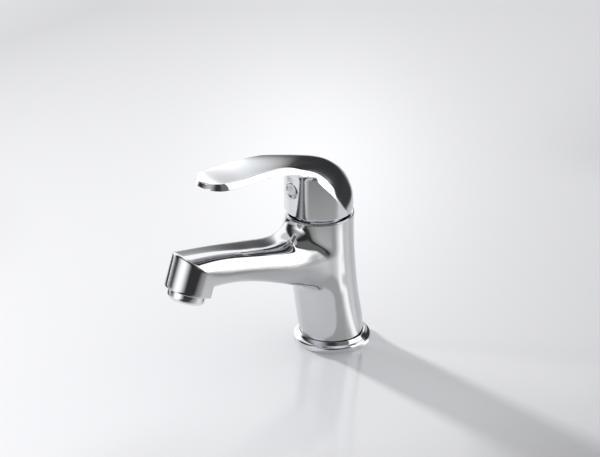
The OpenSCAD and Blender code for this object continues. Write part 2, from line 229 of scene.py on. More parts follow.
# radius and height of the aerator's bore over the rim, of the cartridge's hollow and of the open foot
NOZZLE_BORE = [(12.0, 0.0), (12.0, 9.2), (9.6, 9.2), (9.6, 15.0), (0.0, 15.0)]
CARTRIDGE_BORE = [(18.5, TOP_Z), (18.5, 92), (17.65, 92), (17.65, 66), (0, 66)]
FOOT_BORE = [(15.5, 3), (15.5, 46), (0, 46)]
FOOT_Z = 3.0  # the body stands in the base ring on this height
FOOT_BORE_Y = -3

# columns round the body, and the opening in them that the spout grows out of
COLS = 160
COLUMN = 360 / COLS
HOLE_COLS = 92
HOLE_ROWS = 37
HOLE_LOW, HOLE_HIGH = 34.0, 94.0
HUB_Z = 68.0  # middle of the opening
ROOT_PULL, HOLE_PULL = 22, 12  # how strongly the patch between them keeps its direction at either rim
EVENING_TURNS = 80


def lean_y(z):
    """Centre line of the body: AXIS_Y sin(pi/2 u^1.05), u from 0 at LEAN_START to 1 at the top face."""
    u = np.maximum(0, np.asarray(z, float) - LEAN_START) / (TOP_Z - LEAN_START)
    return AXIS_Y * np.sin(math.pi / 2 * np.minimum(u, 1.05) ** 1.05)


def body_radius(z):
    """Radius of the body: a spline over the height."""
    return table(BODY_RADIUS, z)[..., 0]


def body_field(p):
    """Signed distance, nearly, to the leaning round body; negative inside."""
    return np.hypot(p[..., 0], p[..., 1] - lean_y(p[..., 2])) - body_radius(p[..., 2])


def spout_field(p):
    """Signed distance, nearly, to the spout, and how far sideways its top faces, from 0 to 1.

    Top: (|x|/w)^power + (up/h)^power = 1. Side below it: |x| = w (1 - belly down^2). Keel: a parabola that
    meets the side in a soft corner, wider near the body.
    """
    power, belly, drop = 2.3, 9e-5, 4
    x, z = p[..., 0], p[..., 2]
    s = table(SPOUT, np.minimum(p[..., 1], SPOUT[-1][0]))
    top, side, corner, keel, w = (s[..., i] for i in range(5))
    side = side - drop
    h = top - side
    a = np.maximum(np.abs(x) / w, 1e-6)
    c = np.maximum(z - side, 0) / h
    total = a**power + c**power
    steep, flat = a ** (power - 1) / w, c ** (power - 1) / h
    slope = total ** (1 / power - 1) * np.hypot(steep, flat)
    over = (total ** (1 / power) - 1) / np.maximum(slope, 1e-3)
    down = np.maximum(side - z, 0)
    over = np.where(z > side, over, np.abs(x) - w * (1 - belly * down**2))
    under = corner - keel * (1 - (x / w) ** 2) - z
    field = -soft_min(-over, -under, 1.8 + 12 * smoothstep(-54, -36, p[..., 1]))
    return field, steep / np.maximum(np.hypot(steep, flat), 1e-9)


def spout_side(p):
    """The spout's distance alone."""
    return spout_field(p)[0]


def shell_field(p):
    """Body and spout joined with a fillet: wide where their walls meet squarely, slight where they are flush.

    The fillet reaches 2.4, and up to 21 more over the spout's top and 6 more under its keel. Behind the
    body's middle the spout is pushed away, so that nothing of it shows there.
    """
    x, y, z = np.moveaxis(p, -1, 0)
    spout, sideways = spout_field(p)
    along = sideways * np.abs(x) / np.maximum(np.hypot(x, y - lean_y(z)), 1e-6)
    above = smoothstep(60, 80, z) * 21 * np.exp(-((along / 0.34) ** 2))
    reach = 2.4 + above + 6.0 * smoothstep(62, 50, z)
    spout = spout + 10 * smoothstep(-12, 6, y) + 2 * np.maximum(y, 0)
    return soft_min(body_field(p), spout, reach)


def onto(field, p, turns=4, level=False):
    """Moves points along the field's gradient, or its level part, until the field is zero there."""
    step = 0.01
    for _ in range(turns):
        g = np.stack([(field(p + e) - field(p - e)) / (2 * step) for e in np.eye(3) * step], -1)
        if level:
            g[..., 2] = 0
        p = p - (field(p) / np.maximum((g**2).sum(-1), 0.05))[..., None] * g
    return p


def body_point(angle, z):
    """Point of the body's surface at an angle measured from the spout side, in degrees."""
    a = np.radians(angle - 90)
    r = body_radius(z)
    p = np.stack([r * np.cos(a), lean_y(z) + r * np.sin(a), z + 0 * a], -1)
    return onto(shell_field, p, 5, level=True)


def half_section(w, h, s, k, corner=1.2):
    """Half outline from the keel's middle over side and round top, as (x, up) rows.

    Keel: x = w p, up = -s - k (1 - p^2). Corner: quadratic curve. Side: straight. Top: quarter ellipse.
    w, h, s and k are (m,); the result is (m, 130, 2).
    """
    keels, corners, sides, tops = 21, 9, 23, 80
    w, h, s, k = (np.asarray(v, float)[:, None] for v in (w, h, s, k))
    p = np.linspace(0, 1, keels)[None, :-1] * (1 - corner / w)
    keel = np.stack([w * p, -s - k * (1 - p**2)], -1)
    edge = np.stack([w, -s], -1)
    slant = np.stack([-w, -2 * k], -1)
    slant /= np.linalg.norm(slant, axis=-1, keepdims=True)
    a = edge + slant * corner
    c = edge + np.array([0, 1.0]) * corner
    t = np.linspace(0, 1, corners)[None, :, None]
    round_edge = (1 - t) ** 2 * a + 2 * t * (1 - t) * edge + t**2 * c
    u = np.linspace(0, 1, sides)[None, 1:]
    side = np.stack([w + 0 * u, -s + corner + (s - corner) * u], -1)
    v = np.linspace(0, math.pi / 2, tops)[None, 1:]
    top = np.stack([w * np.cos(v), h * np.sin(v)], -1)
    return np.concatenate([keel, round_edge, side, top], axis=1)


def full_section(half):
    """Closes a half outline by its mirror image: keel middle, right side, top, left side."""
    left = half[:, -2:0:-1] * np.array([-1.0, 1.0])
    return np.concatenate([half, left], axis=1)


def spout_rings(y):
    """Upright rings of the spout at the given y, (m, n, 3)."""
    top, side, corner, keel, w = table(SPOUT, y).T
    flat = full_section(half_section(w, top - side, side - corner, keel))
    return np.stack([flat[..., 0], y[:, None] + 0 * flat[..., 0], side[:, None] + flat[..., 1]], -1)


def nozzle_point(x, q, c):
    """Point of the nozzle frame: q to the back of the nozzle, c up its axis from the rim."""
    ct, st = math.cos(NOZZLE_TILT), math.sin(NOZZLE_TILT)
    return np.stack([x, -REACH + q * ct + c * st, RIM_Z - q * st + c * ct], -1)


def mitre(q):
    """Height of the mitre line above the rim at depth q: gentle over the front, steep on the flat sides.

    Straight lines of three slopes, joined by soft ramps k log(1 + exp(v/k)).
    """
    k = 1.5

    def ramp(v):
        return np.logaddexp(0, v / k) * k

    return 17 + 0.41 * ramp(-q) - 1.3 * (ramp(q) - ramp(q - NOZZLE_BACK)) - 0.3 * ramp(q - NOZZLE_BACK)


def nozzle_ring(height):
    """Ring of the nozzle's wall; height(q) is how far over the rim it lies at depth q."""
    half = half_section([NOZZLE_R], [NOZZLE_R], [NOZZLE_BACK], [NOZZLE_KEEL])
    flat = full_section(half)[0]
    q = -flat[:, 1]
    return nozzle_point(flat[:, 0], q, height(q))


def spout_rows():
    """Rows from the spout's root to the mitre, then down the nozzle, round its rim and up the aerator's bore.

    Each line along the spout is one spline through the stations and the mitre, over the length of its chords.
    """
    rings = onto(spout_side, spout_rings(np.array(SPOUT_STATIONS)), 3)
    end = nozzle_ring(mitre)
    knots = np.concatenate([rings, end[None]])
    chord = np.linalg.norm(np.diff(knots, axis=0), axis=-1)
    length = np.concatenate([np.zeros((1, chord.shape[1])), np.cumsum(chord, 0)])
    along, across_mitre, down_wall, round_lip = 90, 7, 14, 5  # rows of each stretch
    share = np.linspace(0, 1, along)
    lines = np.stack(
        [
            spline(length[:, j], knots[:, j], share * (length[-1, j] - MITRE_ROUND))
            for j in range(knots.shape[1])
        ],
        1,
    )
    down = nozzle_ring(lambda q: mitre(q) - 3)
    fillet = bend(lines[-1], end, down, MITRE_ROUND, across_mitre)
    low = nozzle_ring(lambda q: 0 * q + LIP_ROUND)
    wall = [fillet[-1] * (1 - t) + low * t for t in np.linspace(0, 1, down_wall)[1:]]
    rim = nozzle_ring(lambda q: 0 * q)
    centre = nozzle_point(0.0, 0.0, 0.0)
    backward = np.array([0, math.cos(NOZZLE_TILT), -math.sin(NOZZLE_TILT)])
    toward = centre - rim
    toward /= np.linalg.norm(toward, axis=-1, keepdims=True)
    lip = bend(low, rim, rim + toward, LIP_ROUND, round_lip)[1:]
    around = np.arctan2(-rim[:, 0], np.sum((rim - centre) * backward, -1))
    bore = [nozzle_point(-r * np.sin(around), r * np.cos(around), c + 0 * around) for r, c in NOZZLE_BORE]
    face = [lip[-1] * (1 - t) + bore[0] * t for t in (0.5, 1.0)]
    return np.array([*lines[:-1], *fillet, *wall, *lip, *face, *bore[1:]])


def neck_patch(root, second):
    """Rows from the spout's root row to the four sided opening in the body.

    Cubic Hermite curves between the two, leaving the root along the spout and reaching the opening straight
    away from its middle. In turns they are evened out with their neighbours and moved onto the joined surface.
    """
    half = HOLE_COLS // 2
    column = [
        np.arange(0, half),
        np.full(HOLE_ROWS, half),
        np.arange(half, -half, -1),
        np.full(HOLE_ROWS, -half),
        np.arange(-half, 0),
    ]
    row = [
        np.zeros(half),
        np.arange(0, HOLE_ROWS),
        np.full(HOLE_COLS, HOLE_ROWS),
        np.arange(HOLE_ROWS, 0, -1),
        np.zeros(half),
    ]
    rise = np.concatenate(row)
    loop = body_point(COLUMN * np.concatenate(column), HOLE_LOW + (HOLE_HIGH - HOLE_LOW) * rise / HOLE_ROWS)
    out = root - second
    out = out / np.linalg.norm(out, axis=-1, keepdims=True) * ROOT_PULL
    away = loop - body_point(np.array([0.0]), np.array([HUB_Z]))
    away = away / np.linalg.norm(away, axis=-1, keepdims=True) * HOLE_PULL
    v = np.linspace(0, 1, 50)[:, None, None]
    h00, h10 = 2 * v**3 - 3 * v**2 + 1, v**3 - 2 * v**2 + v
    h01, h11 = -2 * v**3 + 3 * v**2, v**3 - v**2
    patch = h00 * root + h10 * out + h01 * loop + h11 * away
    patch[1:-1] = onto(shell_field, patch[1:-1], 6)
    for _ in range(EVENING_TURNS):
        mid = patch[1:-1]
        beside = (np.roll(mid, 1, axis=1) + np.roll(mid, -1, axis=1)) / 2
        patch[1:-1] = 0.4 * mid + 0.3 * beside + 0.15 * (patch[2:] + patch[:-2])
        patch[1:-1] = onto(shell_field, patch[1:-1], 1)
    patch[1:-1] = onto(shell_field, patch[1:-1], 3)
    return patch


def body_skin():
    """Outer surface of body, spout and nozzle with the openings below, above and at the rim."""
    half = HOLE_COLS // 2
    every = COLUMN * np.arange(COLS)
    beside_hole = COLUMN * np.arange(half, COLS - half + 1)
    around = np.radians(every - 90)

    def strip(angles, heights):
        return np.stack([body_point(angles, np.full(len(angles), z)) for z in heights])

    def circle(r, z, y=AXIS_Y):
        return np.stack([r * np.cos(around), y + r * np.sin(around), np.full(COLS, z)], -1)

    skin = Skin()
    spout = spout_rows()
    skin.grid(spout, wrap=True)
    skin.grid(neck_patch(spout[0], spout[1]), wrap=True, flip=True)
    skin.grid(strip(every, np.linspace(FOOT_Z, HOLE_LOW, 27)), wrap=True)
    skin.grid(strip(beside_hole, np.linspace(HOLE_LOW, HOLE_HIGH, HOLE_ROWS + 1)))
    # rounded upper edge and the hollow for the cartridge
    edge_round = 0.4
    top = strip(every, [HOLE_HIGH, 94.7, 95.3, TOP_Z - edge_round])
    edge = body_point(every, np.full(COLS, TOP_Z))
    axis = np.array([0, AXIS_Y, TOP_Z])
    corner = bend(top[-1], edge, edge + (axis - edge) * 0.1, edge_round, 5)[1:]
    skin.grid(np.array([*top, *corner, *(circle(r, z) for r, z in CARTRIDGE_BORE)]), wrap=True)
    # foot and the open hollow for the hoses
    foot = body_point(every, np.full(COLS, FOOT_Z))
    skin.grid(np.array([foot, *(circle(r, z, FOOT_BORE_Y) for r, z in FOOT_BORE)]), wrap=True, flip=True)
    return skin


# ---------------------------------------------------------------- handle

# centre line (y, z), crisp edge (x, y, z) and junction with the cap (x, y, z), from cap rim to lever;
# y is measured from the body's top axis and z from the lower plane of the handle
STRAP = np.array(
    [
        (22.6, 0, 22.0, 7.2, 0, 22.7, 5.6, 0),
        (23.0, 9.5, 22.0, 4.7, 9.1, 23.3, 2, 7.5),
        (20.9, 17.6, 21.4, -0.2, 17.0, 23.2, -3, 14.5),
        (16.7, 24.7, 19.9, -4.5, 24.1, 21.9, -8.3, 21.4),
        (10.3, 30.9, 17.3, -8.8, 30.3, 19.3, -13.2, 27.4),
        (1.8, 36.2, 14.9, -14.6, 35.3, 16.15, -16.93, 32.2),
        (-11.5, 40.9, 13.5, -24.6, 39.8, 15.0, -23.8, 35.0),
        (-31, 44.7, 13.1, -38.5, 44.0, 14.8, -33.4, 39.1),
        (-55, 46.2, 13.3, -56.5, 45.8, 14.8, -51.5, 42.3),
        (-71, 46.6, 13.9, -71.5, 46.2, 15.3, -70.4, 42.6),
        (-84, 47.2, 13.3, -84, 46.6, 14.7, -84, 42.8),
    ]
)
CENTRE_Y, CENTRE_Z, EDGE_X, EDGE_Y, EDGE_Z, JOIN_X, JOIN_Y, JOIN_Z = range(8)
EDGE = slice(EDGE_X, EDGE_Z + 1)
JOIN = slice(JOIN_X, JOIN_Z + 1)
LAST = len(STRAP) - 1  # station where the lever's round end begins
ARCH_END = 5.0  # station where the strap leaves the cap

# the cap's lower edge rises behind this y with this slope, so that the handle can tip
SEAM_RISE_FROM, SEAM_RISE = 11.4, 0.25
RIM_BAND = 0.4  # height over the cap's lower edge that its rounding takes
FRONT_FILLET = 6.0  # between the cap's front and the lever's underside
UNDER_HOLLOW = 0.9  # depth of the hollow along the lever's underside
CAP_WALL = 2.8
# hollow of the cap: distance inside its outer face, height
CAP_HOLLOW = [
    (CAP_WALL, 8.0), (3.1, 11.0), (4.5, 16.0), (6.8, 20.0), (10.4, 24.0), (15.4, 27.0), (CAP_R, 28.5),
]


def narrowing(t):
    """Share of the width left at t: 1 along the strap, then an ellipse sqrt(1 - v^2) round the lever's end.

    v starts at 0.07, so that the width turns in at once, and the root is divided by its first value.
    """
    v = 0.07 + 0.93 * np.clip(np.asarray(t, float) - LAST, 0, 1)
    return np.sqrt(np.maximum(0, (1 - v**2) / (1 - 0.07**2)))


def strap_rows(t):
    """Strap stations at t; past the last station u = t - LAST runs to 1 round the end of the lever.

    There the top changes height by 0.6 u - u^3, the lower edge by 0.2 u + 0.8 u^2, and it runs 1.4 further out.
    """
    t = np.asarray(t, float)
    s = spline(np.arange(LAST + 1), STRAP, np.minimum(t, LAST))
    u = np.clip(t - LAST, 0, 1)
    g = narrowing(t)
    length = LEVER_L + STRAP[LAST, EDGE_Y]
    dip = 0.6 * u - 1.0 * u**3
    s[..., CENTRE_Y] -= length * u
    s[..., EDGE_Y] -= length * u
    s[..., JOIN_Y] -= (length + 1.4) * u
    s[..., CENTRE_Z] += dip
    s[..., EDGE_Z] += dip
    s[..., JOIN_Z] += 0.2 * u + 0.8 * u**2
    s[..., EDGE_X] *= g
    s[..., JOIN_X] *= g
    return s


def on_cylinder(p):
    """Moves points out or in to the cylinder of the cap."""
    r = np.hypot(p[..., 0], p[..., 1])
    return p * np.stack([CAP_R / r, CAP_R / r, np.ones_like(r)], -1)


def junction(t):
    """Lower edge of the strap; up to ARCH_END it lies on the cap's cylinder, then it is the lever's own."""
    j = strap_rows(t)[..., JOIN]
    blend = smoothstep(ARCH_END - 0.6, ARCH_END, t)[..., None]
    return on_cylinder(j) * (1 - blend) + j * blend


def lever_bevel(t):
    """Width of the flat between the lever's top and its side: 0.12 over the arch, 1.07 along the lever.

    Both are multiplied by the narrowing, so that the flat runs out at the lever's end.
    """
    return (0.12 + 0.95 * smoothstep(5.8, 6.8, t)) * np.maximum(narrowing(t), 1e-3)


def under_round(t):
    """Radius of the lever's lower edge: none where the cap carries the strap, then 0.5 at full width."""
    return 0.5 * smoothstep(ARCH_END, ARCH_END + 1, t) * narrowing(t)


def one_each(rows):
    """Takes column i from row set i, for sections whose columns stand at stations of their own."""
    return np.stack([row[:, i] for i, row in enumerate(rows)], 1)


def strap_half(t):
    """Half sections of the strap from its middle over the crisp edge down to the junction, (m, n, 3).

    Top: x = xe sin a / sin c, (y, z) = centre + (edge - centre)(1 - cos a)/(1 - cos c), a from 0 to c,
    where c falls from 48 to 20 degrees as the strap turns into the lever.
    Then a narrow flat, the crisp edge and the side, 0.12 proud in its middle, down to the junction.
    t is (m,) or (m, n) for sections that are not at one station.
    """
    tops, crisps, bands, lowers = 30, 5, 5, 6
    t = np.asarray(t, float)
    if t.ndim == 1:
        t = np.repeat(t[:, None], tops + 2 * crisps + bands + lowers, 1)
    s = strap_rows(t)
    bevel = lever_bevel(t)
    soft = 0.3 * bevel  # rounding along both edges of the flat
    parts = np.cumsum([tops, crisps, crisps, bands])
    on_top, on_ridge, on_edge, on_side, on_lower = np.split(np.arange(t.shape[1]), parts)

    def crown(part, share):
        """Point of the round top; share runs from 0 in the middle to 1 at its own edge."""
        full = np.radians(48 - 28 * smoothstep(3.4, 5.0, t[:, part]))
        a = full * share
        k = (1 - np.cos(a)) / (1 - np.cos(full))
        c, b = s[:, part], bevel[:, part]
        return np.stack(
            [
                (c[..., EDGE_X] - b) * np.sin(a) / np.sin(full),
                c[..., CENTRE_Y] + (c[..., EDGE_Y] - c[..., CENTRE_Y]) * k,
                c[..., CENTRE_Z] + (c[..., EDGE_Z] + 0.9 * b - c[..., CENTRE_Z]) * k,
            ],
            -1,
        )

    top = crown(on_top, np.linspace(0, 1, tops + 1)[None, :-1])
    inner, ridge = crown(on_ridge, 0.97), crown(on_ridge, 1.0)
    upper = one_each(bend(inner, ridge, s[:, on_ridge, EDGE], soft[:, on_ridge], crisps))
    ridge, edge = crown(on_edge, 1.0), s[:, on_edge, EDGE]
    crisp = one_each(bend(ridge, edge, junction(t[:, on_edge]), soft[:, on_edge], crisps))
    w = np.linspace(0.1, 0.9, bands)[None, :, None]
    side = s[:, on_side, EDGE] * (1 - w) + junction(t[:, on_side]) * w
    proud = 0.12
    side[..., 0] += proud * 4 * w[..., 0] * (1 - w[..., 0])
    join = junction(t[:, on_lower])
    inward = join - np.array([1.0, 0, 0])
    lower = one_each(bend(s[:, on_lower, EDGE], join, inward, under_round(t[:, on_lower]), lowers))
    half = np.concatenate([top, upper, crisp, side, lower], 1)
    half[..., 0] = np.where(narrowing(t[:, :1]) < 1e-9, 0, half[..., 0])
    return half


def seam_height(y):
    """Lower edge of the cap over the handle's plane: level in front, rising in a straight line behind."""
    return SEAM_Z - HAND_Z + SEAM_RISE * np.maximum(0, y - SEAM_RISE_FROM)


def strap_start(extra):
    """For each point of the half section, the station where it stands at the lower edge plus extra."""
    fine = np.linspace(0, 1.2, 121)
    half = strap_half(fine)
    gap = half[..., 2] - seam_height(half[..., 1]) - extra
    return np.array([np.interp(0, gap[:, k], fine) for k in range(half.shape[1])])


def mirror(half):
    """Full sections from half sections that start in the middle: left junction, middle, right junction."""
    left = half[:, :0:-1] * np.array([-1.0, 1.0, 1.0])
    return np.concatenate([left, half], axis=1)


def lever_under(t, f):
    """Underside of the lever at f, from -1 to 1 across it: straight, and a hollow (1 - f^2)^2 further out."""
    j = junction(t)
    x = f * (j[..., 0] - under_round(t))
    hollow = UNDER_HOLLOW * smoothstep(7, 8.2, t)
    hollow = hollow * (1 - smoothstep(LAST - 0.2, LAST + 0.9, t)) * (1 - f**2) ** 2
    return np.stack([x, j[..., 1], j[..., 2] + hollow], -1)


def front_fillet(f):
    """Fillet between the cap's front and the lever's underside: its rows, and the stations where it ends.

    The underside is followed to where it meets the cap's cylinder. The fillet reaches FRONT_FILLET
    sqrt(1 - f^2) from there down the cap and along the lever, and is a quadratic curve.
    """
    fine = np.linspace(ARCH_END - 0.2, 7.5, 400)
    j = junction(fine)
    radius = np.hypot(f[:, None] * (j[:, 0] - under_round(fine))[None, :], j[None, :, 1])
    t_meet = np.array([np.interp(CAP_R, r, fine) for r in radius])
    t_meet[[0, -1]] = ARCH_END
    meet = lever_under(t_meet, f)
    size = FRONT_FILLET * np.sqrt(np.maximum(0, 1 - f**2))
    step = 1e-3
    speed = np.linalg.norm(lever_under(t_meet + step, f) - meet, axis=-1) / step
    t_out = t_meet + size / speed
    for _ in range(4):
        gone = np.linalg.norm(lever_under(t_out, f) - meet, axis=-1)
        t_out = t_out + (size - gone) / speed
    t_out[[0, -1]] = ARCH_END
    low = meet - np.stack([0 * size, 0 * size, size], -1)
    t = np.linspace(0, 1, 12)[:, None, None]
    return (1 - t) ** 2 * low + 2 * t * (1 - t) * meet + t**2 * lever_under(t_out, f), t_out


def handle_skin():
    """Strap with cap wall, lever underside, lower rim and the hollow of the cap."""
    skin = Skin()
    # strap: rows over the arch, along the lever and round its end
    arch, lever, end = 60, 72, 20
    t_low = strap_start(RIM_BAND)
    t_arch = t_low + (ARCH_END - t_low) * np.linspace(0, 1, arch + 1)[:, None]
    t_lever = np.linspace(ARCH_END, LAST, lever + 1)[1:]
    t_end = LAST + np.sin(np.linspace(0, math.pi / 2, end + 1))[1:]
    t_out = np.concatenate([t_lever, t_end])
    strap = mirror(strap_half(np.concatenate([t_arch, t_out[:, None] + 0 * t_low])))
    skin.grid(strap, flip=True)
    # underside of the lever, its rows eased forward to where the fillet ends
    f = np.linspace(1, -1, 41)
    fillet, t_fillet = front_fillet(f)
    t_rows = np.concatenate([[ARCH_END], t_out])[:, None]
    fade = 1 - smoothstep(ARCH_END, ARCH_END + 3.6, t_rows)
    skin.grid(lever_under(t_rows + (t_fillet - ARCH_END) * fade, f[None, :]), flip=True)
    # cap wall: a column under each strap station, and across the front
    side = junction(t_arch[:, -1])
    wall_top = np.concatenate([side[:-1], fillet[0], side[-2::-1] * np.array([-1, 1, 1])])
    wall_low = wall_top.copy()
    wall_low[:, 2] = seam_height(wall_low[:, 1]) + RIM_BAND
    skin.grid(wall_low + (wall_top - wall_low) * np.linspace(0, 1, 34)[:, None, None], flip=True)
    skin.grid(fillet, flip=True)
    # lower rim all round, then the hollow
    back_rim = mirror(strap_half(strap_start(0.0)[None, :]))[0]
    front_rim = wall_low - np.array([0, 0, RIM_BAND])
    start = np.concatenate([strap[0], wall_low[1:-1]])
    corner = np.concatenate([back_rim, front_rim[1:-1]])
    around = np.arctan2(corner[:, 0], -corner[:, 1])

    def hoop(inset, z):
        r = CAP_R - inset
        return np.stack([r * np.sin(around), -r * np.cos(around), z + 0 * around], -1)

    inner = hoop(CAP_WALL, seam_height(corner[:, 1]))
    rim = bend(start, corner, inner, np.linalg.norm(start - corner, axis=-1), 5)
    skin.grid(np.array([*rim, inner, *(hoop(inset, z) for inset, z in CAP_HOLLOW)]), wrap=True)
    for p in skin.points:
        p += np.array([0, AXIS_Y, HAND_Z])
    return skin


# ---------------------------------------------------------------- turned pieces


def rounded(outline, ends=False):
    """Outline from (r, z, size) rows whose corners are quadratic curves reaching size to both sides.

    It is closed, or it begins and ends on the axis and keeps those two points.
    """
    p = np.asarray(outline, float)
    if ends:
        rows = bend(p[:-2, :2], p[1:-1, :2], p[2:, :2], p[1:-1, 2], 6)
        return np.concatenate([p[:1, :2], np.stack(rows, 1).reshape(-1, 2), p[-1:, :2]])
    rows = bend(np.roll(p, 1, 0)[:, :2], p[:, :2], np.roll(p, -1, 0)[:, :2], p[:, 2], 6)
    rows = np.stack(rows, 1).reshape(-1, 2)
    return np.concatenate([rows, rows[:1]])


def turned(outline, count=144):
    """Outline (r, z) turned about the z axis: x = r cos a, y = r sin a."""
    a = 2 * math.pi * np.arange(count) / count
    r, z = outline[:, 0, None], outline[:, 1, None]
    return np.stack([r * np.cos(a), r * np.sin(a), z + 0 * a], -1)


def ring_skin():
    """Base ring: round foot, sloped shoulder and the step that the body stands in."""
    r, h = RING_R, 4.3
    outline = [
        (17, 0, 0.1), (18.4, 0, 0.1), (18.4, 1.6, 0.1), (23.2, 1.6, 0.1), (23.2, 0, 0.1),
        (r, 0, 0.3), (r + 0.15, h - 0.9, 0.4), (r - 0.5, h - 0.1, 0.4), (r - 2.0, h + 0.7, 0.7),
        (r - 2.9, h + 2.2, 0.3), (r - 3.3, h + 2.8, 0.14), (r - 3.6, h + 2.8, 0.1),
        (r - 3.6, 3, 0.1), (17, 3, 0.1),
    ]
    return Skin().grid(turned(rounded(outline)), wrap=True)


def hood_skin():
    """Hood under the handle: flat flange, round shoulder and the opening for the cartridge stem."""
    r, t = 18.4, 9.5
    outline = [
        (r - 1.7, 0, 0.1), (21.9, 0, 0.1), (22.2, 0.15, 0.1), (22.2, 0.45, 0.1), (21.9, 0.5, 0.1),
        (r, 0.5, 0.35), (r, t - 3.9, 1.0), (r - 0.6, t - 1.6, 1.2), (r - 3.4, t, 1.0), (13.6, t, 0.2),
        (13.6, t - 1.5, 0.1), (r - 3.4, t - 1.6, 0.8), (r - 1.7, t - 3.3, 0.8),
    ]
    return Skin().grid(turned(rounded(outline)) + np.array([0, AXIS_Y, TOP_Z]), wrap=True)


def casing_skin():
    """Aerator casing: threaded sleeve inside the nozzle and the visible rounded collar."""
    outline = [
        (10.2, 6, 0.2), (11.9, 6, 0.2), (11.9, 0, 0.02), (12.65, -0.1, 0.2), (12.65, -5.3, 1.0),
        (11.6, -6.6, 0.6), (10.65, -6.8, 0.3), (9.65, -6.8, 0.2), (9.25, -6.3, 0.2), (9.25, -5.4, 0.2),
        (10.2, -5.2, 0.1),
    ]
    x, q, c = np.moveaxis(turned(rounded(outline)), -1, 0)
    return Skin().grid(nozzle_point(x, q, c), wrap=True)


def plug_skin():
    """Plug of the set screw hole: rounded rim round a slightly domed disc, and its stem."""
    outline = [
        (0, 0, 0), (4.5, 0, 0.3), (4.5, 3, 0.1), (5.8, 3, 0.1), (5.8, 4.1, 0.4), (5.3, 4.66, 0.35),
        (4.3, 4.6, 0.3), (3.6, 4.1, 0.5), (0, 4.3, 0),
    ]
    x, y, z = np.moveaxis(turned(rounded(outline, ends=True), 96), -1, 0)
    return Skin().grid(np.stack([x, AXIS_Y - CAP_R + 1.1 + 3 - z, PLUG_Z + y], -1), wrap=True)


# ---------------------------------------------------------------- shaders


class Term:
    """A number in a material, carried by a socket; + - * / and powers on terms add Math nodes."""

    def __init__(self, shader, socket):
        self.shader, self.socket = shader, socket

    def math(self, operation, a, b=None):
        values = {0: a} if b is None else {0: a, 1: b}
        return self.shader.add("ShaderNodeMath", {"operation": operation}, values).out()

    def __add__(self, other):
        return self.math("ADD", self, other)

    def __radd__(self, other):
        return self.math("ADD", other, self)

    def __sub__(self, other):
        return self.math("SUBTRACT", self, other)

    def __rsub__(self, other):
        return self.math("SUBTRACT", other, self)

    def __mul__(self, other):
        return self.math("MULTIPLY", self, other)

    def __rmul__(self, other):
        return self.math("MULTIPLY", other, self)

    def __truediv__(self, other):
        return self.math("DIVIDE", self, other)

    def __pow__(self, other):
        return self.math("POWER", self, other)


class Made:
    """One node that was added, with its outputs as terms."""

    def __init__(self, shader, node):
        self.shader, self.node = shader, node

    def out(self, name=0):
        return Term(self.shader, self.node.outputs[name])


class Shader:
    """Builds the node tree of one material or of the world."""

    def __init__(self, owner):
        owner.use_nodes = True
        self.tree = owner.node_tree
        self.tree.nodes.clear()

    def add(self, kind, settings=None, values=None):
        """Adds a node: its settings first, then the values or links of its sockets."""
        node = self.tree.nodes.new(kind)
        for key, value in (settings or {}).items():
            if key == "stops":
                ramp = node.color_ramp.elements
                while len(ramp) < len(value):
                    ramp.new(0.5)
                for stop, (at, grey) in zip(ramp, value):
                    stop.position, stop.color = at, (grey, grey, grey, 1)
            else:
                setattr(node, key, value)
        for key, value in (values or {}).items():
            socket = node.inputs[key]
            if isinstance(value, Term):
                self.tree.links.new(value.socket, socket)
            elif isinstance(value, (int, float)):
                socket.default_value = value
            else:
                size = len(socket.default_value)
                socket.default_value = tuple(value) + (1,) * (size - len(value))
        return Made(self, node)

    def noise(self, scale, detail=3.0, stretch=None):
        """Noise on object coordinates; scale is in waves per metre, stretch per axis."""
        at = self.add("ShaderNodeTexCoord").out("Object")
        if stretch:
            at = self.add("ShaderNodeMapping", values={"Vector": at, "Scale": stretch}).out()
        values = {"Vector": at, "Scale": scale, "Detail": detail, "Roughness": 0.5}
        return self.add("ShaderNodeTexNoise", values=values).out("Fac")

    def ground(self):
        """The two level object coordinates."""
        at = self.add("ShaderNodeTexCoord").out("Object")
        split = self.add("ShaderNodeSeparateXYZ", values={"Vector": at})
        return split.out("X"), split.out("Y")

    def value(self, operation, a, b=None):
        """Math node with this operation."""
        return Term(self, None).math(operation, a, b)

    def held(self, value, low, high):
        """The value, kept between low and high."""
        return self.value("MINIMUM", self.value("MAXIMUM", value, low), high)

    def step(self, value, low, high):
        """Smooth step from 0 at low to 1 at high; low may lie over high."""
        low, high, sign = (low, high, 1) if low < high else (-low, -high, -1)
        return self.add(
            "ShaderNodeMapRange",
            {"interpolation_type": "SMOOTHSTEP"},
            {"Value": value * sign, "From Min": low, "From Max": high},
        ).out()

    def table(self, value, rows):
        """Straight lines through (value, result) rows: a grey ramp from the least result to the greatest."""
        x0, x1 = rows[0][0], rows[-1][0]
        results = [r for _, r in rows]
        y0, y1 = min(results), max(results)
        stops = [((x - x0) / (x1 - x0), (y - y0) / (y1 - y0)) for x, y in rows]
        share = (value - x0) * (1 / (x1 - x0))
        ramp = self.add("ShaderNodeValToRGB", {"stops": stops}, {"Fac": share}).out("Color")
        return ramp * (y1 - y0) + y0

    def between(self, value, low, high):
        """Maps 0.3 to 0.7 of a noise, which holds most of it, onto low to high."""
        return (value - 0.3) * ((high - low) / 0.4) + low

    def mix(self, factor, a, b):
        """Colour between a and b."""
        return self.add("ShaderNodeMix", {"data_type": "RGBA"}, {"Factor": factor, 6: a, 7: b}).out(2)

    def bump(self, height, distance):
        return self.add(
            "ShaderNodeBump", values={"Height": height, "Distance": distance, "Strength": 1.0}
        ).out()

    def finish(self, values):
        """Principled surface with these socket values, wired to the output."""
        surface = self.add("ShaderNodeBsdfPrincipled", values=values)
        self.add("ShaderNodeOutputMaterial", values={"Surface": surface.out()})


